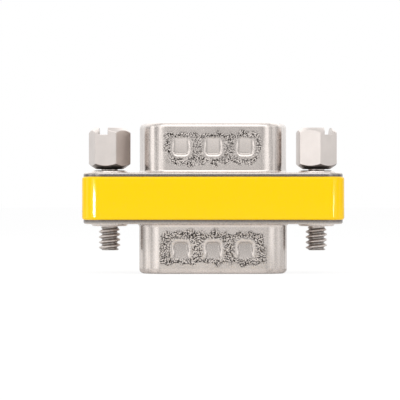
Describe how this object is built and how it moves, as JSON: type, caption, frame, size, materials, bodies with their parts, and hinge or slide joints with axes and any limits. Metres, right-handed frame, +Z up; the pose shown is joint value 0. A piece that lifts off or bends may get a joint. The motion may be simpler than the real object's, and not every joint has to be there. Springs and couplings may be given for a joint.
{
  "type": "vga adapter",
  "caption": "Slim plug-to-plug coupler: D-shaped nickel shells back to back across a yellow band, pin contacts in rows, and a slotted hexagonal jackscrew at each end.",
  "frame": {"origin": "centre of the lower plug's rim, on the surface that the coupler stands on", "axes": "+Z up along the screws from the lower plug to the upper one, +X along the long side to the right, -Y out of the front face of the band"},
  "size_m": [0.0314, 0.013, 0.0181],
  "materials": {
    "band_plastic": null,
    "shell_nickel": "bright nickel plate over drawn steel, slightly grained on the flats",
    "rivet_nickel": "bright nickel plate",
    "screw_nickel": "satin nickel plate over turned steel",
    "insulator": "moulded black plastic",
    "board": "green solder mask",
    "contact_gold": "thin gold over copper alloy"
  },
  "bodies": {
    "coupler": {"band": "band_plastic", "circuit_board": "board", "upper_shell": "shell_nickel", "lower_shell": "shell_nickel", "upper_flange": "shell_nickel", "lower_flange": "shell_nickel", "upper_front_insulator": "insulator", "upper_rear_insulator": "insulator", "lower_front_insulator": "insulator", "lower_rear_insulator": "insulator", "left_rivet": "rivet_nickel", "right_rivet": "rivet_nickel", "upper_contact_1": "contact_gold", "upper_contact_2": "contact_gold", "upper_contact_3": "contact_gold", "upper_contact_4": "contact_gold", "upper_contact_5": "contact_gold", "upper_contact_6": "contact_gold", "upper_contact_7": "contact_gold", "upper_contact_8": "contact_gold", "upper_contact_9": "contact_gold", "upper_contact_10": "contact_gold", "upper_contact_11": "contact_gold", "upper_contact_12": "contact_gold", "upper_contact_13": "contact_gold", "upper_contact_14": "contact_gold", "upper_contact_15": "contact_gold", "lower_contact_1": "contact_gold", "lower_contact_2": "contact_gold", "lower_contact_3": "contact_gold", "lower_contact_4": "contact_gold", "lower_contact_5": "contact_gold", "lower_contact_6": "contact_gold", "lower_contact_7": "contact_gold", "lower_contact_8": "contact_gold", "lower_contact_9": "contact_gold", "lower_contact_10": "contact_gold", "lower_contact_11": "contact_gold", "lower_contact_12": "contact_gold", "lower_contact_13": "contact_gold", "lower_contact_14": "contact_gold", "lower_contact_15": "contact_gold"},
    "left_screw": {"left_jackscrew": "screw_nickel"},
    "right_screw": {"right_jackscrew": "screw_nickel"}
  },
  "joints": [
    {"name": "left_screw_turn", "type": "hinge", "parent": "coupler", "child": "left_screw", "pos_m": [-0.01249, 0, 0.01255], "axis": [0, 0, 1], "continuous": true},
    {"name": "right_screw_turn", "type": "hinge", "parent": "coupler", "child": "right_screw", "pos_m": [0.01249, 0, 0.01255], "axis": [0, 0, 1], "continuous": true}
  ]
}
